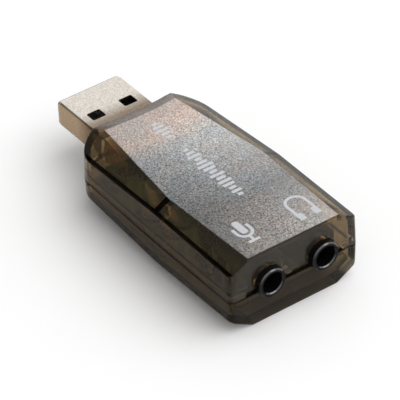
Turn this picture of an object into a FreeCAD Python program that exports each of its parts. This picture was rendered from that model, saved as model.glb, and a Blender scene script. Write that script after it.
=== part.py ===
import FreeCAD, Part
import math
import os

# USB sound card: a plug at the -X end, two 3.5 mm sockets at the +X end, top face up.
# The origin is under the middle of the whole part, on the surface that it lies on.
# Millimetres and degrees throughout.

Vector = FreeCAD.Vector
X = Vector(1, 0, 0)
Y = Vector(0, 1, 0)
Z = Vector(0, 0, 1)

# Housing
body_length = 41.85
lower_height = 6.0
upper_height = 7.0
side_taper = 0.45
draft = 2.2
bend_from_jack_face = 19.5
top_width_jack = 17.0
top_width_bend = 18.4
top_width_plug = 13.2
bottom_set_in = 0.45
facet_angle = 29.0
plug_corner_radius = 5.0
jack_corner_radius = 1.0
inside_corner_radius = 0.3
hollow_radius = 55.0
end_bevel_run = 2.3
end_bevel_drop = 0.6
jack_edge_bevel = 0.35
bottom_edge_bevel = 0.15
wall = 1.2
roof = 1.5
floor = 1.7
lip_thickness = 0.55
lip_height = 0.9
lip_clearance = 0.1
slot_margin = 1.75
rib_thickness = 1.1
rib_headroom = 0.5
pillar_radius = 1.2
pillar_from_edge = 2.4

# Plug
plug_width = 12.0
plug_height = 4.5
plug_reach = 12.65
plug_inside = 6.5
plug_edge_radius = 0.45
plug_clearance = 0.15
sheet = 0.3
seam_gap = 0.1
tip_length = 0.65
tip_draw_in = 0.1
latch_from_tip = 5.75
latch_length = 2.1
latch_width = 2.5
latch_spacing = 6.18
latch_corner_radius = 0.3
leg_width = 1.5
leg_from_end = 1.6
leg_below_board = 0.6
insulator_fit = 0.05
tongue_thickness = 1.95
tongue_from_tip = 0.9
mating_depth = 11.9
contact_width = 1.0
contact_thickness = 0.25
contact_proud = 0.05
outer_contact_from_tip = 1.4
inner_contact_from_tip = 2.4
outer_contact_offset = 3.5
inner_contact_offset = 1.0
contact_tail_gap = 0.3
contact_foot = 1.2

# Sockets
jack_pitch = 10.1
jack_reach = 1.2
jack_length = 12.0
bore_radius = 1.8
jack_floor = 0.5
jack_roof = 0.7
jack_side = 1.3
jack_side_room = 2.85
jack_edge_radius = 0.4
jack_back = 0.6
nose_wall = 0.7
nose_clearance = 0.1
nose_edge_bevel = 0.2
lead_in = 0.15
lead_in_depth = 0.2
spring_from_end = 2.4
spring_dip = 0.15
spring_rise = 0.4
spring_lead = 1.3
spring_tail = 0.8
spring_thickness = 0.25
spring_height = 1.2
spring_leg = 0.9
spring_foot = 0.9
spring_clearance = 0.1

# Board and its components
board_seat = 3.95
board_thickness = 1.2
board_clearance = 0.4
codec_length = 10.2
codec_width = 5.3
codec_height = 1.75
codec_standoff = 0.1
codec_mould_draft = 0.12
lead_count = 14
lead_pitch = 0.65
lead_width = 0.3
lead_thickness = 0.15
lead_shoulder = 0.35
lead_slope = 0.2
lead_foot = 0.7
crystal_length = 11.0
crystal_width = 4.3
crystal_height = 3.5
crystal_flange = 0.2
crystal_flange_height = 0.4
crystal_edge_bevel = 0.5
can_radius = 2.0
can_headroom = 1.0
can_edge_bevel = 0.3
can_groove_depth = 0.2
can_groove_width = 0.5
can_groove_height = 0.9
can_base_size = 4.3
can_base_height = 0.4
can_base_corner = 1.0
can_gap = 0.7
component_gap = 0.4
chip_length = 1.6
chip_width = 0.8
capacitor_height = 0.8
resistor_height = 0.45
led_height = 0.6
led_draft = 0.1
chip_spacing = 2.2
capacitor_count = 4
resistor_offset = 1.5

# Cutters reach this far past the faces that they cut
overrun = 3.0

# Sizes that follow from those above
jack_axis_rise = bore_radius + jack_floor
jack_height = jack_axis_rise + bore_radius + jack_roof
jack_width = 2 * (bore_radius + jack_side)
nose_radius = bore_radius + nose_wall
body_width = jack_pitch + jack_width + 2 * (jack_side_room + wall)
overall_length = plug_reach + body_length + jack_reach
lean = math.tan(math.radians(draft))

# Places along X
plug_tip_x = -overall_length / 2
plug_face_x = plug_tip_x + plug_reach
plug_end_x = plug_face_x + plug_inside
jack_face_x = plug_face_x + body_length
bend_x = jack_face_x - bend_from_jack_face
jack_front_x = jack_face_x - wall - nose_clearance
jack_back_x = jack_front_x - jack_length
contact_drop_x = plug_end_x + contact_tail_gap
components_x = (jack_back_x + contact_drop_x + contact_foot) / 2

# Heights
parting_z = lower_height
top_z = lower_height + upper_height
roof_z = top_z - roof
board_top = board_seat + board_thickness
jack_axis_z = board_top + jack_axis_rise
plug_top = board_top + plug_height

# Board edges, clear of the lower shell where it is narrowest round the board
board_inset = wall + (parting_z - board_seat) * lean + board_clearance
board_half_width = body_width / 2 - side_taper - board_inset
board_plug_x = plug_face_x + board_inset
board_jack_x = jack_face_x - wall - board_clearance


# Basic forms

def half_width(x, at_jack, at_bend, at_plug):
    """Half width at x, along two straight lines that meet at the bend."""
    if x > bend_x:
        return at_bend + (at_jack - at_bend) * (x - bend_x) / (jack_face_x - bend_x)
    return at_bend + (at_plug - at_bend) * (bend_x - x) / (bend_x - plug_face_x)


def hexagon(z, jack_x, plug_x, halves, widen):
    """Six corners of the housing's plan at height z."""
    stations = (jack_x, bend_x, plug_x)
    right = [Vector(x, -half_width(x, *halves) - widen, z) for x in stations]
    left = [Vector(x, half_width(x, *halves) + widen, z) for x in reversed(stations)]
    return right + left


def rectangle(z, x, y, length, width):
    """Four corners of a rectangle centred at x, y."""
    signs = ((1, -1), (-1, -1), (-1, 1), (1, 1))
    return [Vector(x + i * length / 2, y + k * width / 2, z) for i, k in signs]


def polygon_face(ring):
    """Flat face inside a ring of corners."""
    return Part.Face(Part.makePolygon(ring + ring[:1]))


def closed_solid(faces):
    """Solid inside faces that meet edge to edge."""
    solid = Part.makeSolid(Part.makeShell(faces))
    if solid.Volume < 0:
        solid.reverse()
    return solid


def frustum(lower, upper):
    """Solid with flat sides between two rings of corners."""
    faces = [polygon_face(lower), polygon_face(upper)]
    for i in range(len(lower)):
        k = (i + 1) % len(lower)
        faces.append(polygon_face([lower[i], lower[k], upper[k], upper[i]]))
    return closed_solid(faces)


def edges_along(shape, axis):
    """Straight edges of a shape that run along an axis."""
    found = []
    for edge in shape.Edges:
        ends = [v.Point for v in edge.Vertexes]
        if len(ends) == 2 and (ends[1] - ends[0]).cross(axis).Length < 1e-6:
            found.append(edge)
    return found


def rounded_bar(x0, x1, width, z0, z1, radius):
    """Bar along X with its four long edges rounded."""
    bar = Part.makeBox(x1 - x0, width, z1 - z0, Vector(x0, -width / 2, z0))
    return bar.makeFillet(radius, edges_along(bar, X))


def block(x, y, length, width, z0, z1):
    """Plain block centred at x, y."""
    return Part.makeBox(length, width, z1 - z0, Vector(x - length / 2, y - width / 2, z0))


def rod(x0, x1, y, z, radius):
    """Round bar along X."""
    return Part.makeCylinder(radius, x1 - x0, Vector(x0, y, z), X)


def bent_strip(path, thickness, across):
    """Flat strip folded along a path of points, as wide as the vector across."""
    side = Vector(across).normalize()
    normals = [side.cross(b - a).normalize() for a, b in zip(path, path[1:])]
    mitres = [normals[0]]
    for before, after in zip(normals, normals[1:]):
        mitres.append((before + after) * (1 / (1 + before.dot(after))))
    mitres.append(normals[-1])
    outer = [point + mitre * thickness for point, mitre in zip(path, mitres)]
    return polygon_face(path + outer[::-1]).extrude(across)


def stadium(x, y, z, length, width, height):
    """Upright block with two straight sides and two half-round ends."""
    straight = (length - width) / 2
    radius = width / 2
    right = Part.LineSegment(Vector(x - straight, y - radius, z), Vector(x + straight, y - radius, z))
    front = Part.Arc(right.EndPoint, Vector(x + length / 2, y, z), Vector(x + straight, y + radius, z))
    left = Part.LineSegment(front.EndPoint, Vector(x - straight, y + radius, z))
    back = Part.Arc(left.EndPoint, Vector(x - length / 2, y, z), right.StartPoint)
    outline = Part.Wire([curve.toShape() for curve in (right, front, left, back)])
    return Part.Face(outline).extrude(Z * height)


# Housing halves, each first made as it rises from the parting plane

def end_cutter(profile):
    """Ring-shaped cutter that leaves the hollow plug end, from a profile of x, z points."""
    ring = [Vector(x, 0, z) for x, z in profile]
    sweep = 2 * math.degrees(math.asin((body_width / 2 + overrun) / hollow_radius))
    axis = Vector(plug_face_x - hollow_radius, 0, 0)
    face = polygon_face(ring)
    face.rotate(axis, Z, -sweep / 2)
    return face.revolve(axis, Z, sweep)


def arc(centre, radius, first, last):
    """Arc about a centre between two directions in plan."""
    middle = (first + last).normalize()
    points = [centre + direction * radius for direction in (first, middle, last)]
    return Part.Arc(*points).toShape()


def line(first, last):
    """Straight edge."""
    return Part.LineSegment(first, last).toShape()


def left_side(z, skin):
    """Left half of the walls' outline at height z: corner, two straight walls and corner."""
    inset = skin + z * lean
    widest = body_width / 2
    turn = math.atan2(side_taper, bend_x - plug_face_x)
    along = Vector(math.cos(turn), math.sin(turn), 0)
    outward = Vector(-math.sin(turn), math.cos(turn), 0)
    axis = Vector(plug_face_x - hollow_radius, 0, 0)
    bend = Vector(bend_x, widest, 0)
    depth = bend.dot(outward) - plug_corner_radius
    reach = math.sqrt((hollow_radius + plug_corner_radius) ** 2 - (depth - axis.dot(outward)) ** 2)
    corner = outward * depth + along * (axis.dot(along) + reach)
    backward = (axis - corner).normalize()
    corner.z = z
    jack_x = jack_face_x - skin
    radius = max(jack_corner_radius - skin, inside_corner_radius)
    jack_corner = Vector(jack_x - radius, widest - inset - radius, z)
    round_corner = arc(corner, plug_corner_radius - inset, outward, backward)
    bend = Vector(bend_x + inset * math.tan(turn / 2), widest - inset, z)
    return [
        arc(jack_corner, radius, X, Y),
        line(jack_corner + Y * radius, bend),
        line(bend, corner + outward * (plug_corner_radius - inset)),
        round_corner,
    ]


def outline(z, skin):
    """Edges of the walls' closed outline at height z, set in by the thickness skin."""
    left = left_side(z, skin)
    right = [edge.mirror(Vector(0, 0, 0), Y) for edge in left]
    jack_left = left[0].Vertexes[0].Point
    plug_left = left[-1].Vertexes[-1].Point
    hollow = Vector(plug_face_x + skin + z * lean, 0, z)
    jack_face = line(Vector(jack_left.x, -jack_left.y, z), jack_left)
    plug_face = Part.Arc(plug_left, hollow, Vector(plug_left.x, -plug_left.y, z)).toShape()
    return [jack_face] + left + [plug_face] + right[::-1]


def wall_block(height, skin):
    """Block inside the drafted walls, set in by the thickness skin."""
    lower = outline(0, skin)
    upper = outline(height, skin)
    faces = [Part.Face(Part.Wire(lower)), Part.Face(Part.Wire(upper))]
    for below, above in zip(lower, upper):
        if isinstance(below.Curve, Part.Line):
            ends = [v.Point for v in below.Vertexes + above.Vertexes[::-1]]
            faces.append(polygon_face(ends))
        else:
            faces += Part.makeLoft([Part.Wire([below]), Part.Wire([above])], False, True).Faces
    return closed_solid(faces)


def half_body(height, set_in, skin, cover):
    """Wall block under its six-sided top and four facets, set in by skin and cover."""
    slope = math.radians(facet_angle)
    rise = height - cover
    shift = (cover * math.cos(slope) - skin) / math.sin(slope) - set_in
    halves = (top_width_jack / 2, top_width_bend / 2, top_width_plug / 2)
    ends = (jack_face_x + overrun, plug_face_x - overrun)
    base = hexagon(0, *ends, halves, shift + rise / math.tan(slope))
    peak = hexagon(rise, *ends, halves, shift)
    return wall_block(rise, skin).common(frustum(base, peak))


def outer_half(height, set_in, edge_bevel):
    """Outside of one half, with its bevelled edges at both ends."""
    solid = half_body(height, set_in, 0, 0)
    start = plug_face_x + (height - end_bevel_drop) * lean
    solid = solid.cut(end_cutter((
        (start - end_bevel_run, height - 2 * end_bevel_drop),
        (start + end_bevel_run, height),
        (start + end_bevel_run, height + overrun),
        (start - end_bevel_run, height + overrun),
    )))
    edge = max(edges_along(solid, Y), key=lambda e: e.CenterOfMass.x + e.CenterOfMass.z)
    return solid.makeChamfer(edge_bevel, [edge])


def upright(shape):
    """Half body moved up to the parting plane."""
    return shape.translated(Z * parting_z)


def inverted(shape):
    """Half body turned over below the parting plane."""
    return shape.mirror(Vector(0, 0, 0), Z).translated(Z * parting_z)


def lip_ring(outer_skin, inner_skin, height):
    """Ring inside the wall that stands on the parting plane."""
    return upright(wall_block(height, outer_skin).cut(wall_block(height, inner_skin)))


def end_openings():
    """Holes round the two socket noses and the plug."""
    holes = []
    for y in (-jack_pitch / 2, jack_pitch / 2):
        hole_radius = nose_radius + nose_clearance
        holes.append(rod(jack_front_x - nose_clearance, jack_face_x + overrun, y, jack_axis_z, hole_radius))
    holes.append(rounded_bar(
        plug_face_x - overrun, board_plug_x + overrun, plug_width + 2 * plug_clearance,
        board_top - plug_clearance, plug_top + plug_clearance, plug_edge_radius + plug_clearance))
    return holes


def upper_shell():
    """Upper half: rebate for the lip, slot that shows it between the sockets, rib at each bend."""
    shell = upright(outer_half(upper_height, 0, jack_edge_bevel).cut(half_body(upper_height, 0, wall, roof)))
    rib_bottom = board_top + crystal_height + rib_headroom
    rib = block(bend_x, 0, rib_thickness, body_width, rib_bottom, top_z)
    rib = rib.cut(block(bend_x, 0, rib_thickness, top_width_bend, rib_bottom, top_z))
    shell = shell.fuse(rib.common(upright(half_body(upper_height, 0, wall / 2, roof / 2))))
    rebate_height = lip_height + lip_clearance
    shell = shell.cut(lip_ring(wall - lip_thickness - lip_clearance, wall + lip_clearance, rebate_height))
    slot_width = jack_pitch + 2 * (nose_radius + slot_margin)
    slot_depth = wall + lip_clearance
    slot = block(jack_face_x, 0, 2 * slot_depth, slot_width, parting_z - overrun, parting_z + rebate_height)
    return shell.cut([slot] + end_openings()).removeSplitter()


def lower_shell():
    """Lower half: inner lip all round, saddles for the noses, four pillars under the board."""
    shell = inverted(outer_half(lower_height, bottom_set_in, bottom_edge_bevel).cut(
        half_body(lower_height, bottom_set_in, wall, floor)))
    shell = shell.fuse(lip_ring(wall - lip_thickness, wall, lip_height))
    core = inverted(half_body(lower_height, bottom_set_in, wall / 2, floor / 2))
    pillar_y = board_half_width - pillar_from_edge
    for x in (board_plug_x + plug_corner_radius, board_jack_x - pillar_from_edge):
        for y in (-pillar_y, pillar_y):
            pillar = Part.makeCylinder(pillar_radius, board_seat, Vector(x, y, 0))
            shell = shell.fuse(pillar.common(core))
    return shell.cut(end_openings()).removeSplitter()


# Plug

def drawn_tube(inset):
    """Plug section along its whole length, drawn in at the tip."""
    width = plug_width - 2 * inset
    low = board_top + inset
    high = plug_top - inset
    radius = plug_edge_radius - inset
    neck_x = plug_tip_x + tip_length
    straight = rounded_bar(neck_x, plug_end_x, width, low, high, radius)
    tip = rounded_bar(
        plug_tip_x, neck_x, width - 2 * tip_draw_in,
        low + tip_draw_in, high - tip_draw_in, radius)
    mouth = min(tip.Faces, key=lambda f: f.CenterOfMass.x).OuterWire
    neck = min(straight.Faces, key=lambda f: f.CenterOfMass.x).OuterWire
    return straight.fuse(Part.makeLoft([mouth, neck], True, True))


def usb_shell():
    """Folded sheet with latch windows above and below, a seam underneath and two solder legs."""
    shell = drawn_tube(0).cut(drawn_tube(sheet))
    latch_x = plug_tip_x + latch_from_tip + latch_length / 2
    for side in (-1, 1):
        window = block(latch_x, side * latch_spacing / 2, latch_length, latch_width,
                       board_top - overrun, plug_top + overrun)
        shell = shell.cut(window.makeFillet(latch_corner_radius, edges_along(window, Z)))
        leg_y = side * (plug_width - sheet) / 2
        leg = block(plug_end_x - leg_from_end, leg_y, leg_width, sheet,
                    board_seat - leg_below_board, board_top + plug_height / 2)
        shell = shell.fuse(leg)
    seam = block((plug_tip_x + plug_end_x) / 2, 0, plug_end_x - plug_tip_x + overrun, seam_gap,
                 board_top - overrun, board_top + plug_height / 2)
    return shell.cut(seam).removeSplitter()


# Contact strips of the plug, from the +Y side: name, offset, distance from the tip
contacts = (
    ("usb_contact_vbus", outer_contact_offset, outer_contact_from_tip),
    ("usb_contact_data_minus", inner_contact_offset, inner_contact_from_tip),
    ("usb_contact_data_plus", -inner_contact_offset, inner_contact_from_tip),
    ("usb_contact_ground", -outer_contact_offset, outer_contact_from_tip),
)
tongue_top = board_top + sheet + insulator_fit + tongue_thickness
groove_z = tongue_top - contact_thickness + contact_proud


def usb_insulator():
    """Tongue under the contacts and the full block behind it, grooved for the strips."""
    inset = sheet + insulator_fit
    width = plug_width - 2 * inset
    radius = plug_edge_radius - sheet
    low = board_top + inset
    tongue = rounded_bar(plug_tip_x + tongue_from_tip, plug_end_x, width, low, tongue_top, radius)
    rear = rounded_bar(plug_tip_x + mating_depth, plug_end_x, width, low, plug_top - inset, radius)
    solid = tongue.fuse(rear)
    for _, y, from_tip in contacts:
        start = plug_tip_x + from_tip - insulator_fit
        length = plug_end_x + overrun - start
        solid = solid.cut(block(start + length / 2, y, length, contact_width + 2 * insulator_fit,
                                groove_z, groove_z + contact_thickness + insulator_fit))
    return solid.removeSplitter()


def usb_contact(y, from_tip):
    """Strip that lies in its groove, drops behind the block and ends in a foot on the board."""
    side = y + contact_width / 2
    path = [
        Vector(plug_tip_x + from_tip, side, groove_z),
        Vector(contact_drop_x, side, groove_z),
        Vector(contact_drop_x, side, board_top),
        Vector(contact_drop_x + contact_foot, side, board_top),
    ]
    return bent_strip(path, contact_thickness, Y * -contact_width)


# Sockets

def spring_places():
    """Places along X of the sleeve, ring and tip springs of a socket."""
    front = jack_front_x - spring_from_end
    back = jack_back_x + spring_from_end
    return (front, (front + back) / 2, back)


def jack_body(y):
    """Socket moulding: nose, bore with a flared mouth, windows for the springs in the outer side."""
    outer = 1 if y > 0 else -1
    rim_x = jack_face_x + jack_reach
    housing = block((jack_front_x + jack_back_x) / 2, y, jack_length, jack_width,
                    board_top, board_top + jack_height)
    housing = housing.makeFillet(jack_edge_radius, edges_along(housing, X))
    nose = rod(jack_front_x, rim_x, y, jack_axis_z, nose_radius)
    rim = max(nose.Edges, key=lambda e: e.CenterOfMass.x)
    body = housing.fuse(nose.makeChamfer(nose_edge_bevel, [rim]))
    bore = rod(jack_back_x + jack_back, rim_x, y, jack_axis_z, bore_radius)
    mouth = Part.makeCone(bore_radius + lead_in, bore_radius, lead_in_depth,
                          Vector(rim_x, y, jack_axis_z), X * -1)
    windows = []
    for x in spring_places():
        low_x = x - spring_tail - spring_clearance
        high_x = x + spring_lead + spring_clearance
        windows.append(block((low_x + high_x) / 2, y + outer * jack_width / 2, high_x - low_x, jack_width,
                             jack_axis_z - spring_height / 2 - spring_clearance,
                             jack_axis_z + spring_height / 2 + spring_clearance))
    return body.cut([bore, mouth] + windows).removeSplitter()


def jack_spring(x, y):
    """Leaf that dips into the bore, with a leg down the socket's side and a foot on the board."""
    outer = 1 if y > 0 else -1
    flank = y + outer * jack_width / 2
    low = jack_axis_z - spring_height / 2
    contact_y = y + outer * (bore_radius - spring_dip)
    leaf_path = [
        Vector(x + spring_lead + spring_leg, flank, low),
        Vector(x + spring_lead, flank, low),
        Vector(x, contact_y, low),
        Vector(x - spring_tail, contact_y + outer * spring_rise, low),
    ]
    leg_path = [
        Vector(x + spring_lead, flank, low + spring_height),
        Vector(x + spring_lead, flank, board_top),
        Vector(x + spring_lead, flank + outer * (spring_thickness + spring_foot), board_top),
    ]
    if outer > 0:
        leaf = bent_strip([p + Z * spring_height for p in leaf_path], spring_thickness, Z * -spring_height)
        leg = bent_strip(leg_path, spring_thickness, X * spring_leg)
    else:
        leaf = bent_strip(leaf_path, spring_thickness, Z * spring_height)
        leg = bent_strip([p + X * spring_leg for p in leg_path], spring_thickness, X * -spring_leg)
    return leaf.fuse(leg).removeSplitter()


# Board and components

def circuit_board():
    """Board with its plug-end corners rounded to the housing and slots for the plug's legs."""
    board = Part.makeBox(board_jack_x - board_plug_x, 2 * board_half_width, board_thickness,
                         Vector(board_plug_x, -board_half_width, board_seat))
    corners = [e for e in edges_along(board, Z) if e.CenterOfMass.x < bend_x]
    board = board.makeFillet(plug_corner_radius - wall, corners)
    for side in (-1, 1):
        leg_y = side * (plug_width - sheet) / 2
        board = board.cut(block(plug_end_x - leg_from_end, leg_y, leg_width + 2 * plug_clearance,
                                sheet + 2 * plug_clearance, board_seat - overrun, board_top + overrun))
    return board


codec_low = board_top + codec_standoff
codec_middle = codec_low + codec_height / 2
lead_reach = codec_width / 2 + lead_shoulder + lead_slope + lead_foot


def codec_chip():
    """Flat package with sides that lean in from the line of the leads."""
    waist = rectangle(codec_middle, components_x, 0, codec_length, codec_width)
    halves = []
    for z in (codec_low, codec_low + codec_height):
        inset = 2 * codec_mould_draft
        edge = rectangle(z, components_x, 0, codec_length - inset, codec_width - inset)
        halves.append(frustum(waist, edge))
    return halves[0].fuse(halves[1]).removeSplitter()


def codec_leads():
    """Two rows of gull-wing leads, from the package's waist to feet on the board."""
    shoulder_y = codec_width / 2 + lead_shoulder
    leads = []
    for i in range(lead_count):
        x = components_x + (i - (lead_count - 1) / 2) * lead_pitch - lead_width / 2
        path = [
            Vector(x, codec_width / 2, codec_middle),
            Vector(x, shoulder_y, codec_middle),
            Vector(x, shoulder_y + lead_slope, board_top),
            Vector(x, lead_reach, board_top),
        ]
        lead = bent_strip(path, lead_thickness, X * lead_width)
        leads += [lead, lead.mirror(Vector(0, 0, 0), Y)]
    return Part.makeCompound(leads)


def crystal_can():
    """Oval can with a rolled top edge on a thin flange, beside the codec."""
    y = lead_reach + component_gap + crystal_width / 2 + crystal_flange
    can = stadium(components_x, y, board_top, crystal_length, crystal_width, crystal_height)
    top_edges = [e for e in can.Edges if e.BoundBox.ZMin > board_top + crystal_height / 2]
    can = can.makeChamfer(crystal_edge_bevel, top_edges)
    flange = stadium(components_x, y, board_top, crystal_length + 2 * crystal_flange,
                     crystal_width + 2 * crystal_flange, crystal_flange_height)
    return can.fuse(flange).removeSplitter()


can_y = -(lead_reach + component_gap + can_base_size / 2)
can_xs = [components_x + side * (can_base_size + can_gap) / 2 for side in (-1, 1)]


def electrolytic_cans():
    """Two drawn cans with a crimped groove above the base, as tall as the roof allows."""
    cans = []
    low = board_top + can_base_height
    groove_z0 = low + can_groove_height
    for x in can_xs:
        axis = Vector(x, can_y, low)
        can = Part.makeCylinder(can_radius, roof_z - can_headroom - low, axis)
        rim = max(can.Edges, key=lambda e: e.CenterOfMass.z)
        can = can.makeChamfer(can_edge_bevel, [rim])
        groove = Part.makeCylinder(can_radius + overrun, can_groove_width, Vector(x, can_y, groove_z0))
        groove = groove.cut(Part.makeCylinder(can_radius - can_groove_depth, can_groove_width,
                                              Vector(x, can_y, groove_z0)))
        cans.append(can.cut(groove))
    return Part.makeCompound(cans)


def electrolytic_bases():
    """Square plastic bases with the two corners that mark the positive side cut off."""
    bases = []
    for x in can_xs:
        base = block(x, can_y, can_base_size, can_base_size, board_top, board_top + can_base_height)
        corners = [e for e in edges_along(base, Z) if e.CenterOfMass.x > x]
        bases.append(base.makeChamfer(can_base_corner, corners))
    return Part.makeCompound(bases)


def chip_row_x(place):
    """Place along X in the row of small parts between the sockets, counted from the jack face."""
    return jack_front_x - (place + 0.5) * chip_spacing


def ceramic_capacitors():
    """Small capacitors in a row between the sockets."""
    places = [chip_row_x(i + 1) for i in range(capacitor_count)]
    return Part.makeCompound([
        block(x, 0, chip_length, chip_width, board_top, board_top + capacitor_height) for x in places])


def chip_resistors():
    """Two small resistors on each side of the plug's rear end."""
    chips = []
    for side in (-1, 1):
        y = side * (plug_width / 2 + resistor_offset)
        for x in (plug_end_x, plug_end_x - chip_spacing):
            chips.append(block(x, y, chip_length, chip_width, board_top, board_top + resistor_height))
    return Part.makeCompound(chips)


def status_led():
    """Small lamp between the sockets, nearest the jack face."""
    x = chip_row_x(0)
    foot = rectangle(board_top, x, 0, chip_length, chip_width)
    lens = rectangle(board_top + led_height, x, 0, chip_length - 2 * led_draft, chip_width - 2 * led_draft)
    return frustum(foot, lens)


# One file for each piece

pieces = {
    "upper_shell": upper_shell(),
    "lower_shell": lower_shell(),
    "usb_shell": usb_shell(),
    "usb_insulator": usb_insulator(),
    "circuit_board": circuit_board(),
    "codec_chip": codec_chip(),
    "codec_leads": codec_leads(),
    "crystal_can": crystal_can(),
    "electrolytic_cans": electrolytic_cans(),
    "electrolytic_bases": electrolytic_bases(),
    "ceramic_capacitors": ceramic_capacitors(),
    "chip_resistors": chip_resistors(),
    "status_led": status_led(),
}
for name, offset, from_tip in contacts:
    pieces[name] = usb_contact(offset, from_tip)
for use, side in (("headphone", 1), ("microphone", -1)):
    jack_y = side * jack_pitch / 2
    pieces[use + "_jack_body"] = jack_body(jack_y)
    for part, spring_x in zip(("sleeve", "ring", "tip"), spring_places()):
        pieces[use + "_jack_" + part + "_spring"] = jack_spring(spring_x, jack_y)

os.makedirs("parts", exist_ok=True)
for name, shape in pieces.items():
    shape.exportStep("parts/" + name + ".step")
    box = shape.BoundBox
    print(name, shape.isValid(), len(shape.Solids), round(shape.Volume, 3),
          [round(v, 2) for v in (box.XMin, box.XMax, box.YMin, box.YMax, box.ZMin, box.ZMax)])
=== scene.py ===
import math

import bmesh
import bpy
from mathutils import Matrix, Vector
from mathutils.bvhtree import BVHTree


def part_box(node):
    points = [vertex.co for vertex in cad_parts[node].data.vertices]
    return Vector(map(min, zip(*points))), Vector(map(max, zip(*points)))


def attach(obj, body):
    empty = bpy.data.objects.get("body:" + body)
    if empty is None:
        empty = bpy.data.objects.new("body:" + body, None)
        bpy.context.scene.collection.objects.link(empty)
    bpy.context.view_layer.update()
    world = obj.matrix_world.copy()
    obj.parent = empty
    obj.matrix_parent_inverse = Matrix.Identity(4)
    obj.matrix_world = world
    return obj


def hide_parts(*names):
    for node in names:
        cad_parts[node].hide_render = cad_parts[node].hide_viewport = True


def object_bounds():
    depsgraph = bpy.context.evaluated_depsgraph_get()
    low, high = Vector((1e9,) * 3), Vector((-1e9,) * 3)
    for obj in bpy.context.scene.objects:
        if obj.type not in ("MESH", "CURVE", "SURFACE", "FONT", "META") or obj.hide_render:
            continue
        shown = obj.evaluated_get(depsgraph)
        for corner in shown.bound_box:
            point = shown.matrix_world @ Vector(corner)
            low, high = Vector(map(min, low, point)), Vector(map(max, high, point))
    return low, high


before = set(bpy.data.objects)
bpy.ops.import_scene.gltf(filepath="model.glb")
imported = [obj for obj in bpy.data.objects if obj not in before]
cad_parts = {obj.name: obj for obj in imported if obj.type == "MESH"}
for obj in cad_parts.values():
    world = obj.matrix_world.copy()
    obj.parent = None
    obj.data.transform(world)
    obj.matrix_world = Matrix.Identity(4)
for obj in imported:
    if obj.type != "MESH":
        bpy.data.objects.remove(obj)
cad_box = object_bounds()


# Circuit board
# One sheet of glass fibre laminate under green lacquer, with copper tracks that show as paler lines.
# It rests in the lower half of the housing, and everything electrical is soldered to it.

mm = 0.001
lacquer_greens = (0.06, 0.10, 0.04), (0.11, 0.16, 0.07)
track_green = (0.13, 0.18, 0.08)
cut_fibre = (0.06, 0.055, 0.03)
track_edge = 0.72, 0.78
level_tilt = 0.5


def place(tree, kind, values=None, **settings):
    """Adds a shader node; a value that is a socket is linked, any other is set, a colour as three shares."""
    node = tree.nodes.new("ShaderNode" + kind)
    for name, value in settings.items():
        setattr(node, name, value)
    for name, value in (values or {}).items():
        if isinstance(value, bpy.types.NodeSocket):
            tree.links.new(value, node.inputs[name])
        elif node.inputs[name].type == "RGBA":
            node.inputs[name].default_value = (*value, 1)
        else:
            node.inputs[name].default_value = value
    return node


def work(tree, operation, *terms):
    """The result of one sum or comparison."""
    return place(tree, "Math", dict(enumerate(terms)), operation=operation).outputs[0]


def spread(tree, value, low, high, start=0.0, end=1.0):
    """A value's run from low to high, laid over start to end."""
    return place(tree, "MapRange", {"Value": value, "From Min": low, "From Max": high,
                                    "To Min": start, "To Max": end}).outputs["Result"]


def blend(tree, share, under, over, way="MIX"):
    """One colour laid over another."""
    return place(tree, "Mix", {"Factor": share, 6: under, 7: over},
                 data_type="RGBA", blend_type=way).outputs[2]


def slope(tree, kind="True Normal"):
    """The X, Y and Z of the way a surface faces."""
    facing = place(tree, "NewGeometry").outputs[kind]
    return place(tree, "SeparateXYZ", {0: facing}).outputs


def build_grain():
    """Two tones, a roughness and a height that wander together over a surface."""
    tree = bpy.data.node_groups.new("surface_grain", "ShaderNodeTree")
    colour, number = "NodeSocketColor", "NodeSocketFloat"
    for name, kind in (("Dark", colour), ("Light", colour), ("Scale", number),
                       ("Smooth", number), ("Rough", number)):
        tree.interface.new_socket(name, in_out="INPUT", socket_type=kind)
    for name, kind in (("Color", colour), ("Roughness", number), ("Height", number)):
        tree.interface.new_socket(name, in_out="OUTPUT", socket_type=kind)
    low, high = 0.3, 0.7
    cloud_share = 0.13
    given = tree.nodes.new("NodeGroupInput").outputs
    spot = place(tree, "TexCoord").outputs["Object"]
    fine = place(tree, "TexNoise", {"Vector": spot, "Scale": given["Scale"],
                                    "Detail": 3.0, "Roughness": 0.6}).outputs["Fac"]
    cloud_scale = work(tree, "MULTIPLY", given["Scale"], cloud_share)
    cloud = place(tree, "TexNoise", {"Vector": spot, "Scale": cloud_scale, "Detail": 2.0}).outputs["Fac"]
    tone = blend(tree, spread(tree, fine, low, high), given["Dark"], given["Light"])
    gloss = spread(tree, cloud, low, high, given["Smooth"], given["Rough"])
    result = tree.nodes.new("NodeGroupOutput").inputs
    tree.links.new(tone, result["Color"])
    tree.links.new(gloss, result["Roughness"])
    tree.links.new(fine, result["Height"])
    return tree


surface_grain = build_grain()


def finish(name, dark, light, scale, gloss, relief, sockets=None):
    """A material whose colour, roughness and relief come from the grain group."""
    material = bpy.data.materials.new(name)
    material.use_nodes = True
    tree = material.node_tree
    shader = tree.nodes["Principled BSDF"]
    for socket, value in (sockets or {}).items():
        shader.inputs[socket].default_value = value
    grain = place(tree, "Group", {"Dark": dark, "Light": light, "Scale": scale,
                                  "Smooth": gloss[0], "Rough": gloss[1]}, node_tree=surface_grain).outputs
    bump = place(tree, "Bump", {"Height": grain["Height"], "Strength": 1.0, "Distance": relief}).outputs
    tree.links.new(grain["Color"], shader.inputs["Base Color"])
    tree.links.new(grain["Roughness"], shader.inputs["Roughness"])
    tree.links.new(bump["Normal"], shader.inputs["Normal"])
    return material, tree, shader, grain


def dress(material, *nodes):
    """Gives CAD nodes their finish."""
    for node in nodes:
        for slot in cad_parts[node].material_slots:
            slot.material = material


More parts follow.
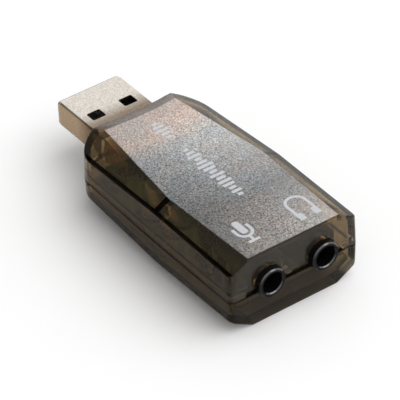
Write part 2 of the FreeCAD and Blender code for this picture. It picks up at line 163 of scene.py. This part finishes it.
laminate, tree, shader, grain = finish("green_laminate", *lacquer_greens, scale=900, gloss=(0.28, 0.4),
                                       relief=0.006 * mm)
spot = place(tree, "TexCoord").outputs["Object"]
tracks = place(tree, "TexWave", {"Vector": spot, "Scale": 260.0, "Distortion": 5.0, "Detail": 1.0,
                                 "Detail Scale": 0.6}, wave_type="BANDS", bands_direction="DIAGONAL")
copper = spread(tree, tracks.outputs["Fac"], *track_edge)
tracked = blend(tree, copper, grain["Color"], track_green)
lying = work(tree, "ABSOLUTE", slope(tree, "Normal")["Z"])
edge = work(tree, "LESS_THAN", lying, level_tilt)
tree.links.new(blend(tree, edge, tracked, cut_fibre), shader.inputs["Base Color"])
dress(laminate, "circuit_board")


# Audio chip
# A flat black moulding of filled resin with a row of tinned leads bent down along each side.
# The leads are soldered to the board.

metal = {"Metallic": 1.0}
moulded_resin, *_ = finish("chip_resin", (0.010, 0.010, 0.011), (0.022, 0.022, 0.023),
                           scale=9000, gloss=(0.5, 0.65), relief=0.008 * mm)
dress(moulded_resin, "codec_chip")
tinned, *_ = finish("tinned_copper", (0.58, 0.57, 0.55), (0.72, 0.71, 0.69),
                    scale=5000, gloss=(0.22, 0.4), relief=0.002 * mm, sockets=metal)
dress(tinned, "codec_leads")


# Small parts on the board
# A quartz crystal in a drawn steel can, two aluminium capacitors on plastic bases, chip parts and a lamp.
# All stand soldered on the upper side of the board, where the smoke plastic lets them show darkly.

drawn_steel, *_ = finish("crystal_steel", (0.55, 0.54, 0.52), (0.68, 0.67, 0.64),
                         scale=3000, gloss=(0.2, 0.38), relief=0.002 * mm, sockets=metal)
dress(drawn_steel, "crystal_can")
can_metal, *_ = finish("can_aluminium", (0.30, 0.31, 0.30), (0.42, 0.42, 0.40),
                       scale=2500, gloss=(0.25, 0.4), relief=0.002 * mm, sockets=metal)
dress(can_metal, "electrolytic_cans")
base_plastic, *_ = finish("base_plastic", (0.012, 0.012, 0.013), (0.03, 0.03, 0.03),
                          scale=4000, gloss=(0.4, 0.55), relief=0.004 * mm)
dress(base_plastic, "electrolytic_bases")
tan_ceramic, *_ = finish("capacitor_ceramic", (0.34, 0.22, 0.12), (0.46, 0.31, 0.18),
                         scale=5000, gloss=(0.35, 0.5), relief=0.003 * mm)
dress(tan_ceramic, "ceramic_capacitors")
black_ceramic, *_ = finish("resistor_glaze", (0.015, 0.015, 0.017), (0.04, 0.04, 0.042),
                           scale=5000, gloss=(0.25, 0.4), relief=0.003 * mm)
dress(black_ceramic, "chip_resistors")
clear_resin, *_ = finish("lamp_resin", (0.72, 0.70, 0.60), (0.85, 0.83, 0.74),
                         scale=3000, gloss=(0.12, 0.25), relief=0.002 * mm,
                         sockets={"Subsurface Weight": 0.3, "Subsurface Scale": 0.4 * mm})
dress(clear_resin, "status_led")


# Plug
# A shell of nickel-plated steel, folded from one sheet and drawn in at the tip, with four latch windows.
# A black plastic tongue inside it carries four gilt contacts, and legs hold the plug to the board.
# The flanks and the plating near the housing are painted darker, as painted shade, and the sheet is dark
# where it was cut. The inner floor of the shell and the deep ends of the gilt contacts are painted dark, as
# painted shade.

nickel_tones = (0.58, 0.52, 0.45), (0.96, 0.91, 0.84)
flank_shade_tint = (0.43, 0.32, 0.205)
cut_steel_and_shade = (0.03, 0.02, 0.012)
cut_width = 0.14 * mm
cut_share = 0.55
sheet_depth = 0.25 * mm
contact_shade = (0.006, 0.005, 0.004)
tip_x = cad_box[0].x
plug_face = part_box("upper_shell")[0].x
plug_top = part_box("usb_shell")[1].z
housing_shade_reach = plug_face - 8 * mm, plug_face + 2 * mm
contact_end = tip_x + 2.8 * mm, tip_x + 3.4 * mm
flank_tilt = 0.15, 0.8


def where(tree):
    """The X, Y and Z of a point on a piece."""
    spot = place(tree, "TexCoord").outputs["Object"]
    return place(tree, "SeparateXYZ", {0: spot}).outputs


def tones(tree, value, *stops):
    """A colour read off a scale of stops, each a place from 0 to 1 and a colour."""
    node = place(tree, "ValToRGB", {"Fac": value})
    scale = node.color_ramp.elements
    for mark, (stop, colour) in zip((scale[0], scale[1]), (stops[0], stops[-1])):
        mark.position = stop
        mark.color = (*colour, 1)
    for stop, colour in stops[1:-1]:
        scale.new(stop).color = (*colour, 1)
    return node.outputs["Color"]


nickel, tree, shader, grain = finish("nickel_plate", *nickel_tones, scale=4200, gloss=(0.24, 0.36),
                                     relief=0.006 * mm, sockets=metal)
faces = slope(tree, "Normal")
at = where(tree)
# Painted shade: faces turned to the sides take a darker brown tint.
flank = spread(tree, work(tree, "ABSOLUTE", faces["Y"]), *flank_tilt)
flank_shaded = blend(tree, flank, grain["Color"], flank_shade_tint, "MULTIPLY")
# Painted shade: the plating darkens towards the housing face, and is warmer again inside it.
reach = spread(tree, at["X"], *housing_shade_reach)
near_body = tones(tree, reach, (0.14, (1, 1, 1)), (0.48, (0.38, 0.32, 0.26)),
                  (0.77, (0.3, 0.27, 0.24)), (0.9, (0.95, 0.75, 0.55)))
shaded = blend(tree, 1.0, flank_shaded, near_body, "MULTIPLY")
cut_edge = work(tree, "LESS_THAN", at["X"], tip_x + cut_width)
cut_dulled = work(tree, "MULTIPLY", cut_edge, cut_share)
# Painted shade: upward faces inside the shell take the dark colour of the cut edge.
inside = work(tree, "LESS_THAN", at["Z"], plug_top - sheet_depth)
facing_up = work(tree, "GREATER_THAN", faces["Z"], level_tilt)
inner_floor = work(tree, "MULTIPLY", inside, facing_up)
cut_edge_and_inner_shade = work(tree, "MAXIMUM", cut_dulled, inner_floor)
tree.links.new(blend(tree, cut_edge_and_inner_shade, shaded, cut_steel_and_shade), shader.inputs["Base Color"])
dress(nickel, "usb_shell")

tongue_plastic, *_ = finish("tongue_plastic", (0.002, 0.002, 0.002), (0.004, 0.004, 0.003),
                            scale=4000, gloss=(0.5, 0.6), relief=0.004 * mm,
                            sockets={"Specular IOR Level": 0.1})
dress(tongue_plastic, "usb_insulator")

gilt, tree, shader, grain = finish("gilt_contact", (0.80, 0.56, 0.22), (0.92, 0.70, 0.34),
                                   scale=3500, gloss=(0.18, 0.32), relief=0.001 * mm, sockets=metal)
# Painted shade: the contacts turn dark deeper than 3 mm from the tip, inside the shell.
deep = spread(tree, where(tree)["X"], *contact_end)
tree.links.new(blend(tree, deep, grain["Color"], contact_shade), shader.inputs["Base Color"])
dress(gilt, "usb_contact_vbus", "usb_contact_data_minus", "usb_contact_data_plus", "usb_contact_ground")


# Sockets
# Two black glossy mouldings, each with a round nose that stands out of the housing round the bore.
# The rim of each nose is polished. Three bent springs of plated brass in each socket reach into the bore,
# and their legs are soldered to the board.

rim_tilt = 0.6, 0.3
upward_tilt = 0.2, 0.6
rim_polish = 0.1, 1.0
socket_plastic, tree, shader, _ = finish("socket_plastic", (0.003, 0.003, 0.003), (0.007, 0.006, 0.006),
                                         scale=2600, gloss=(0.07, 0.13), relief=0.001 * mm,
                                         sockets={"Specular IOR Level": 0.08, "Coat IOR": 1.9,
                                                  "Coat Roughness": 0.12})
faces = slope(tree)
rim = work(tree, "COMPARE", faces["X"], *rim_tilt)
upward = spread(tree, faces["Z"], *upward_tilt, *rim_polish)
tree.links.new(work(tree, "MULTIPLY", rim, upward), shader.inputs["Coat Weight"])
dress(socket_plastic, "headphone_jack_body", "microphone_jack_body")
brass, *_ = finish("spring_brass", (0.20, 0.17, 0.13), (0.30, 0.26, 0.20),
                   scale=3500, gloss=(0.22, 0.38), relief=0.002 * mm, sockets=metal)
for side in ("headphone", "microphone"):
    dress(brass, *(f"{side}_jack_{part}_spring" for part in ("sleeve", "ring", "tip")))


# Housing halves
# Two mouldings of smoke-brown clear plastic that meet at a parting line round the middle of the sides.
# Their polished walls and facets show the board and the sockets darkly. Their outer edges are eased. The
# eased edges, the faces at the parting line, the places over the ribs and the foot of the upper facets are
# painted nearly black, as painted shade; the low facets by the sockets are painted dark, and the level faces
# above the walls paler than those below, as painted light and shade.

eased_edge = 0.12 * mm
rounded_corner = 0.24 * mm
parting_ease = 0.14 * mm
parting_gap = 0.03 * mm
parting_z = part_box("upper_shell")[0].z
seam_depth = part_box("lower_shell")[1].z - parting_z
seam_margin = 0.2 * mm
rib_x = 7.15 * mm
rib_width = 1.1 * mm
wall_foot = 11.0 * mm, 11.5 * mm
wall_foot_x = -15 * mm
upper_facets_z = 9.0 * mm
lower_facets_z = 3.0 * mm
jack_facets_x = 23.6 * mm, 24.8 * mm
jack_walls_x = 19 * mm, 24 * mm
gloss_z = parting_z - 1 * mm, parting_z + 2 * mm

wall_tilt = 0.7
low_facet_tilt = 0.87, 0.06
edge_tilt = 0.475, 0.36
jack_end_tilt = 0.5, 0.9
off_end_tilt = 0.3

smoke_tint = (0.675, 0.63, 0.56)
smoke_density = 1000.0
smoke_tones = (0.60, 0.53, 0.41), (0.72, 0.64, 0.50)
wall_tint = (1.10, 0.92, 0.62)
wall_tint_share = 1.0, 0.35
end_gloss = 0.05, 0.3
lamp_tint = (0.90, 0.93, 0.96)
shaded_lower_tone = (0.58, 0.51, 0.38)
lit_upper_tone = (0.78, 0.69, 0.51)
low_facet_shade = (0.045, 0.04, 0.03)
unlit_tone = (0.012, 0.009, 0.006)


def let_lamps_through(tree, shader, tint):
    """Lets lamplight pass a surface, so that what lies behind it is lit."""
    ray = place(tree, "LightPath").outputs["Is Shadow Ray"]
    clear = place(tree, "BsdfTransparent", {"Color": tint}).outputs[0]
    both = place(tree, "MixShader", {0: ray, 1: shader.outputs[0], 2: clear}).outputs[0]
    tree.links.new(both, tree.nodes["Material Output"].inputs["Surface"])


smoke, tree, shader, grain = finish("smoke_plastic", *smoke_tones, scale=420, gloss=(0.08, 0.16),
                                    relief=0.002 * mm,
                                    sockets={"Transmission Weight": 0.975, "IOR": 1.195,
                                             "Specular Tint": (0.12, 0.08, 0.04, 1)})
faces = slope(tree)
at = where(tree)
lying = work(tree, "ABSOLUTE", faces["Z"])
level = work(tree, "GREATER_THAN", lying, level_tilt)
above = work(tree, "GREATER_THAN", at["Z"], upper_facets_z)

side_wall = work(tree, "GREATER_THAN", work(tree, "ABSOLUTE", faces["Y"]), wall_tilt)
from_jacks = spread(tree, at["X"], *jack_walls_x, *wall_tint_share)
tinted = work(tree, "MULTIPLY", side_wall, from_jacks)
walls = blend(tree, tinted, grain["Color"], wall_tint, "MULTIPLY")
# Painted light and shade: level faces above the walls take a paler tone than those below.
panes = blend(tree, above, shaded_lower_tone, lit_upper_tone)
plain = blend(tree, level, walls, panes)

# Painted shade: the low facets by the sockets are painted dark.
leaning = work(tree, "COMPARE", lying, *low_facet_tilt)
low = work(tree, "LESS_THAN", at["Z"], lower_facets_z)
low_facet = work(tree, "MULTIPLY", leaning, low)
by_jacks = spread(tree, at["X"], *jack_facets_x)
shadowed = blend(tree, work(tree, "MULTIPLY", low_facet, by_jacks), plain, low_facet_shade)

# Painted shade: eased edges, the parting faces, and bands over the ribs and at the foot of the upper facets
# are painted nearly black.
by_seam = work(tree, "COMPARE", at["Z"], parting_z + seam_depth / 2, seam_depth / 2 + seam_margin)
sloped = work(tree, "COMPARE", lying, *edge_tilt)
off_jack_end = work(tree, "LESS_THAN", faces["X"], off_end_tilt)
lined = work(tree, "MAXIMUM", off_jack_end, by_seam)
eased = work(tree, "MULTIPLY", sloped, lined)
by_rib = work(tree, "COMPARE", at["X"], rib_x, rib_width / 2)
foot_y = spread(tree, at["X"], wall_foot_x, rib_x, *wall_foot)
by_wall = work(tree, "GREATER_THAN", work(tree, "ABSOLUTE", at["Y"]), foot_y)
backed = work(tree, "MULTIPLY", work(tree, "MAXIMUM", by_rib, by_wall), above)
hidden = work(tree, "MULTIPLY", work(tree, "MAXIMUM", by_seam, backed), level)
unlit = work(tree, "MAXIMUM", eased, hidden)
tree.links.new(blend(tree, unlit, shadowed, unlit_tone), shader.inputs["Base Color"])

jack_gloss = spread(tree, at["Z"], *gloss_z, *end_gloss)
jack_end = spread(tree, faces["X"], *jack_end_tilt, 0.0, jack_gloss)
tree.links.new(jack_end, shader.inputs["Coat Weight"])
let_lamps_through(tree, shader, lamp_tint)
body = place(tree, "VolumeAbsorption", {"Color": smoke_tint, "Density": smoke_density})
tree.links.new(body.outputs[0], tree.nodes["Material Output"].inputs["Volume"])


def model(form, name, material, smooth_below=None):
    """Turns a finished bmesh into an object."""
    mesh = bpy.data.meshes.new(name)
    form.to_mesh(mesh)
    form.free()
    mesh.materials.append(material)
    if smooth_below:
        mesh.shade_smooth()
        mesh.set_sharp_from_angle(angle=math.radians(smooth_below))
    made = bpy.data.objects.new(name, mesh)
    bpy.context.scene.collection.objects.link(made)
    return made


weld_distance = 0.002 * mm
line_margin = 0.005 * mm
look_out = 0.01 * mm
turned_away = -0.3
flat_angle = math.radians(0.5)
sharp_angle = math.radians(12)
upright_below = 0.2
leaning_facet = 0.8, 0.93


def eased_half(node, side):
    """A copy of a half whose outward corners are rounded; side is 1 for the upper half, -1 for the lower."""
    form = bmesh.new()
    form.from_mesh(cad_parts[node].data)
    bmesh.ops.remove_doubles(form, verts=form.verts, dist=weld_distance)
    bmesh.ops.dissolve_limit(form, angle_limit=flat_angle, verts=form.verts, edges=form.edges)
    solid = BVHTree.FromBMesh(form)
    outside = set()
    for face in form.faces:
        start = face.calc_center_median() + face.normal * look_out
        if face.normal.z * side > turned_away and solid.ray_cast(start, face.normal)[0] is None:
            outside.add(face)
    facets, corners, parting = [], [], []
    for edge in form.edges:
        on_line = [abs(vert.co.z - parting_z) < line_margin for vert in edge.verts]
        shown = [face for face in edge.link_faces if face in outside]
        if all(on_line) and len(shown) == 1 and edge.is_convex:
            parting.append(edge)
        elif not any(on_line) and len(shown) == 2 and edge.calc_face_angle_signed() > sharp_angle:
            slants = sorted(abs(face.normal.z) for face in edge.link_faces)
            under_facet = slants[0] < upright_below and leaning_facet[0] < slants[1] < leaning_facet[1]
            (corners if under_facet else facets).append(edge)
    rounds = (parting, parting_ease, 1), (corners, rounded_corner, 3), (facets, eased_edge, 2)
    for chosen, radius, steps in rounds:
        chosen = [edge for edge in chosen if edge.is_valid]
        bmesh.ops.bevel(form, geom=chosen, offset=radius, affect="EDGES", segments=steps, profile=0.5,
                        material=-1, clamp_overlap=False, loop_slide=True)
    return form


def moulding(form, node):
    """Puts an eased half in the place of its CAD node."""
    half = model(form, node + "_moulding", smoke, smooth_below=35)
    even = half.modifiers.new("even_flats", "WEIGHTED_NORMAL")
    even.keep_sharp = True
    even.weight = 100
    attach(half, "root")
    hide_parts(node)


lower = eased_half("lower_shell", -1)
seam = [vert for vert in lower.verts if abs(vert.co.z - parting_z) < line_margin]
bmesh.ops.translate(lower, verts=seam, vec=(0, 0, -parting_gap))
moulding(lower, "lower_shell")

top_z = cad_box[1].z
skin_depth = 0.012 * mm
flat_strip = 0.75 * mm
flat_tilt = 0.955


def on_flat(face):
    """The level top of the upper half and the strip that slopes down to the plug."""
    return face.normal.z > flat_tilt and face.calc_center_median().z > top_z - flat_strip


upper = eased_half("upper_shell", 1)
flat = {vert for face in upper.faces if on_flat(face) for vert in face.verts}
bmesh.ops.translate(upper, verts=list(flat), vec=(0, 0, -skin_depth))
skin = upper.copy()
moulding(upper, "upper_shell")


# Textured flat
# The flat top is spark-eroded in the mould, so it scatters light and looks pale over the clear plastic.
# The grain is a skin on the six-sided flat and on the strip that slopes down to the plug, which is painted
# darker as
# painted shade. Its tone is cloudy: warm and pale near the plug, grey towards the sockets, and painted
# lighter on the far side as painted light.

flat_reach = -15 * mm, 26 * mm
flat_half = 8 * mm
calm_near_plug = -13 * mm, 1 * mm
calm_far_side = 1 * mm, 8 * mm
pale_reach = -13 * mm, 0.0
strip_tilt = 0.975, 0.99
strip_shade = 0.44
grain_range = 0.3, 0.7
cover_range = 0.62, 0.9
cloud_range = 0.36, 0.64
skin_share = 0.8
grain_tones = (0.0, 0.0, 0.0), (1.8, 1.8, 1.8)
even_tone = (0.9, 0.9, 0.9)
warm_cloud = (1.06, 0.99, 0.95)
cool_cloud = (0.94, 0.985, 1.01)
lamp_share = (0.8, 0.8, 0.8)


def thicken(form, depth):
    """Gives a sheet of faces its thickness, upwards."""
    raised = bmesh.ops.extrude_face_region(form, geom=form.faces[:])
    lifted = [part for part in raised["geom"] if isinstance(part, bmesh.types.BMVert)]
    bmesh.ops.translate(form, verts=lifted, vec=(0, 0, depth))
    bmesh.ops.recalc_face_normals(form, faces=form.faces)


bmesh.ops.delete(skin, geom=[face for face in skin.faces if not on_flat(face)], context="FACES")
thicken(skin, skin_depth * skin_share)

eroded, tree, shader, grain = finish("eroded_flat", *grain_tones, scale=5200, gloss=(0.45, 0.6),
                                     relief=0.03 * mm)
at = where(tree)
tone = tones(tree, spread(tree, at["X"], *flat_reach),
             (0.0, (0.55, 0.47, 0.43)), (0.2, (0.58, 0.50, 0.46)), (0.32, (0.39, 0.40, 0.405)),
             (0.7, (0.184, 0.19, 0.194)), (1.0, (0.34, 0.31, 0.29)))
spot = place(tree, "TexCoord").outputs["Object"]
haze = place(tree, "TexNoise", {"Vector": spot, "Scale": 170.0, "Detail": 2.0}).outputs["Fac"]
clouds = blend(tree, spread(tree, haze, *cloud_range), warm_cloud, cool_cloud)
clouded = blend(tree, 1.0, tone, clouds, "MULTIPLY")

plug_calm = spread(tree, at["X"], *calm_near_plug, 0.55, 0.0)
far_calm = spread(tree, at["Y"], *calm_far_side, 0.0, 0.45)
calm = work(tree, "MAXIMUM", plug_calm, far_calm)
calmed = blend(tree, calm, grain["Color"], even_tone)
# Painted light: the flat is painted darker on the near side and lighter on the far side, where light from
# the rear falls.
near_side_shade = spread(tree, at["X"], *pale_reach, 0.98, 0.76)
far_side_light = spread(tree, at["X"], *pale_reach, 1.12, 1.65)
across = spread(tree, at["Y"], -flat_half, flat_half, near_side_shade, far_side_light)
# Painted shade: the strip that slopes down to the plug is painted darker than the flat.
strip = spread(tree, slope(tree)["Z"], *strip_tilt, strip_shade, 1.0)
shade = work(tree, "MULTIPLY", across, strip)
speckle = place(tree, "VectorMath", {0: calmed, "Scale": shade}, operation="SCALE").outputs["Vector"]
tree.links.new(blend(tree, 1.0, clouded, speckle, "MULTIPLY"), shader.inputs["Base Color"])
cover = spread(tree, grain["Height"], *grain_range, *cover_range)
tree.links.new(cover, shader.inputs["Alpha"])
let_lamps_through(tree, shader, lamp_share)

flat_skin = model(skin, "textured_flat", eroded)
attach(flat_skin, "root")


# Printed signs
# Pale ink is pad-printed on the flat: a sign for headphones, one for a microphone, and rows of level bars.
# The film is a few thousandths of a millimetre thick, and it follows the grain of the flat.

ink_z = top_z - skin_depth * 0.5
ink_depth = skin_depth * 0.45
ink_stroke = 0.52 * mm
ink, *_ = finish("pale_ink", (0.44, 0.45, 0.48), (0.62, 0.63, 0.66),
                 scale=4600, gloss=(0.45, 0.6), relief=0.006 * mm)


def bar(form, low, high, rounding):
    """A flat bar with rounded corners between two corners given in millimetres."""
    low, high = Vector(low) * mm, Vector(high) * mm
    size = high - low
    centre = (low + high) / 2
    made = bmesh.ops.create_grid(form, x_segments=1, y_segments=1, size=0.5)["verts"]
    bmesh.ops.scale(form, verts=made, vec=(size.x, size.y, 1))
    bmesh.ops.translate(form, verts=made, vec=(centre.x, centre.y, ink_z))
    bmesh.ops.bevel(form, geom=made, offset=rounding * mm, affect="VERTICES", segments=6, profile=0.5,
                    material=-1)


def hoop(form, centre, radius, leg, opening):
    """Half a ring of stroke width with two legs; it opens to the sockets for 1, to the plug for -1."""
    outer = radius * mm
    inner = outer - ink_stroke
    middle = Vector((centre[0] * mm, centre[1] * mm, ink_z))
    ends = [form.verts.new(middle + Vector((0, reach, 0))) for reach in (inner, outer)]
    first = form.edges.new(ends)
    turned = bmesh.ops.spin(form, geom=[*ends, first], cent=middle, axis=(0, 0, 1),
                            angle=math.pi * opening, steps=28)
    last = [part for part in turned["geom_last"] if isinstance(part, bmesh.types.BMEdge)]
    for edge in (first, *last):
        drawn = bmesh.ops.extrude_edge_only(form, edges=[edge])
        moved = [part for part in drawn["geom"] if isinstance(part, bmesh.types.BMVert)]
        bmesh.ops.translate(form, verts=moved, vec=(leg * opening * mm, 0, 0))


def printed(form, name):
    """Makes a flat sign a film of ink on the top."""
    thicken(form, ink_depth)
    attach(model(form, name, ink), "root")


band_x, band_y = 20.25, 5.25
band_radius = 1.95
band_leg = 2.2
pad_length = 1.7
pad_inside = 0.85
pad_x = band_x + band_leg
headphones = bmesh.new()
hoop(headphones, (band_x, band_y), band_radius, band_leg, opening=1)
for side in (-1, 1):
    edges = sorted((band_y + side * band_radius, band_y + side * pad_inside))
    bar(headphones, (pad_x, edges[0]), (pad_x + pad_length, edges[1]), rounding=0.2)
printed(headphones, "headphone_sign")

capsule = (18.0, -5.65), (21.3, -4.45)
stem = (22.3, -5.3), (23.1, -4.8)
foot = (23.1, -6.1), (23.65, -4.0)
microphone = bmesh.new()
bar(microphone, *capsule, rounding=0.55)
hoop(microphone, centre=(20.75, -5.05), radius=1.55, leg=1.3, opening=-1)
bar(microphone, *stem, rounding=0.02)
bar(microphone, *foot, rounding=0.1)
printed(microphone, "microphone_sign")

bar_pitch = 1.0
bar_width = 0.62
rows_y = 0.1
short_row = 1.0, 2.0, 2.6, 1.6, 0.9
long_row = 0.8, 1.5, 2.3, 1.2, 1.9, 2.8, 2.2, 1.4, 2.6, 1.7, 2.4, 2.0, 1.3, 1.8, 0.9
levels = bmesh.new()
for first_x, heights in ((-9.75, short_row), (-1.25, long_row)):
    for count, tall in enumerate(heights):
        start = first_x + count * bar_pitch
        bar(levels, (start, rows_y - tall / 2), (start + bar_width, rows_y + tall / 2), rounding=0.12)
printed(levels, "level_bars")


# Studio
# A white table top under one large soft lamp, which stands high on the far side, towards the sockets.
# Mirrors and clear plastic see a white surround with one dark patch, and matt surfaces are lit by a dimmer
# one that is brighter on the far side.

table_half = 1.5
table_gap = 0.02 * mm
table = bmesh.new()
bmesh.ops.create_grid(table, x_segments=1, y_segments=1, size=table_half)
bmesh.ops.translate(table, verts=table.verts, vec=(0, 0, -table_gap))
table_white, *_ = finish("table_white", (0.955, 0.955, 0.955), (0.965, 0.965, 0.965),
                         scale=60, gloss=(0.7, 0.85), relief=0.001 * mm,
                         sockets={"Specular IOR Level": 0.1})
model(table, "table_top", table_white)

dark_patch = (-0.645, -0.27, 0.715)
patch_edge = 0.78, 0.94
patch_levels = 1.0, 0.1
bright_side = (0.5, 0.87, 0.0)
side_edge = -0.6, 0.6
side_levels = 0.38, 1.05
world = bpy.data.worlds.new("studio")
bpy.context.scene.world = world
world.use_nodes = True
tree = world.node_tree
sky = place(tree, "TexCoord").outputs["Generated"]
toward_patch = place(tree, "VectorMath", {0: sky, 1: dark_patch}, operation="DOT_PRODUCT").outputs["Value"]
mirrored = spread(tree, toward_patch, *patch_edge, *patch_levels)
toward_side = place(tree, "VectorMath", {0: sky, 1: bright_side}, operation="DOT_PRODUCT").outputs["Value"]
ambient = spread(tree, toward_side, *side_edge, *side_levels)
ray = place(tree, "LightPath").outputs
mirror = work(tree, "MAXIMUM", ray["Is Glossy Ray"], ray["Is Transmission Ray"])
around = spread(tree, mirror, 0.0, 1.0, ambient, mirrored)
seen = work(tree, "MAXIMUM", around, ray["Is Camera Ray"])
backdrop = tree.nodes["Background"].inputs
tree.links.new(seen, backdrop["Color"])
backdrop["Strength"].default_value = 1.0

lamp_place = Vector((0.25, 0.43, 0.867))
lamp = bpy.data.lights.new("key_window", "SUN")
lamp.energy = 1.3
lamp.angle = math.radians(60)
key_window = bpy.data.objects.new("key_window", lamp)
key_window.location = lamp_place
key_window.rotation_euler = (-lamp_place).to_track_quat("-Z", "Y").to_euler()
bpy.context.scene.collection.objects.link(key_window)

azimuth = math.radians(-35.13555)
elevation = math.radians(37.93390)
roll = math.radians(-2.03632)
distance = 0.5
aim = (0.00168905, 0.00049735, 0.004573)
view = bpy.data.cameras.new("photograph")
view.lens = 288
view.sensor_width = 36
view.clip_start = 0.05
view.clip_end = 5
camera = bpy.data.objects.new("photograph", view)
around_object = Matrix.Rotation(azimuth + math.pi / 2, 4, "Z")
above_table = Matrix.Rotation(math.pi / 2 - elevation, 4, "X")
on_its_side = Matrix.Rotation(roll, 4, "Z")
camera.matrix_world = (Matrix.Translation(aim) @ around_object @ above_table @ on_its_side
                       @ Matrix.Translation((0, 0, distance)))
bpy.context.scene.collection.objects.link(camera)
bpy.context.scene.camera = camera
bpy.context.scene.view_settings.view_transform = "Standard"
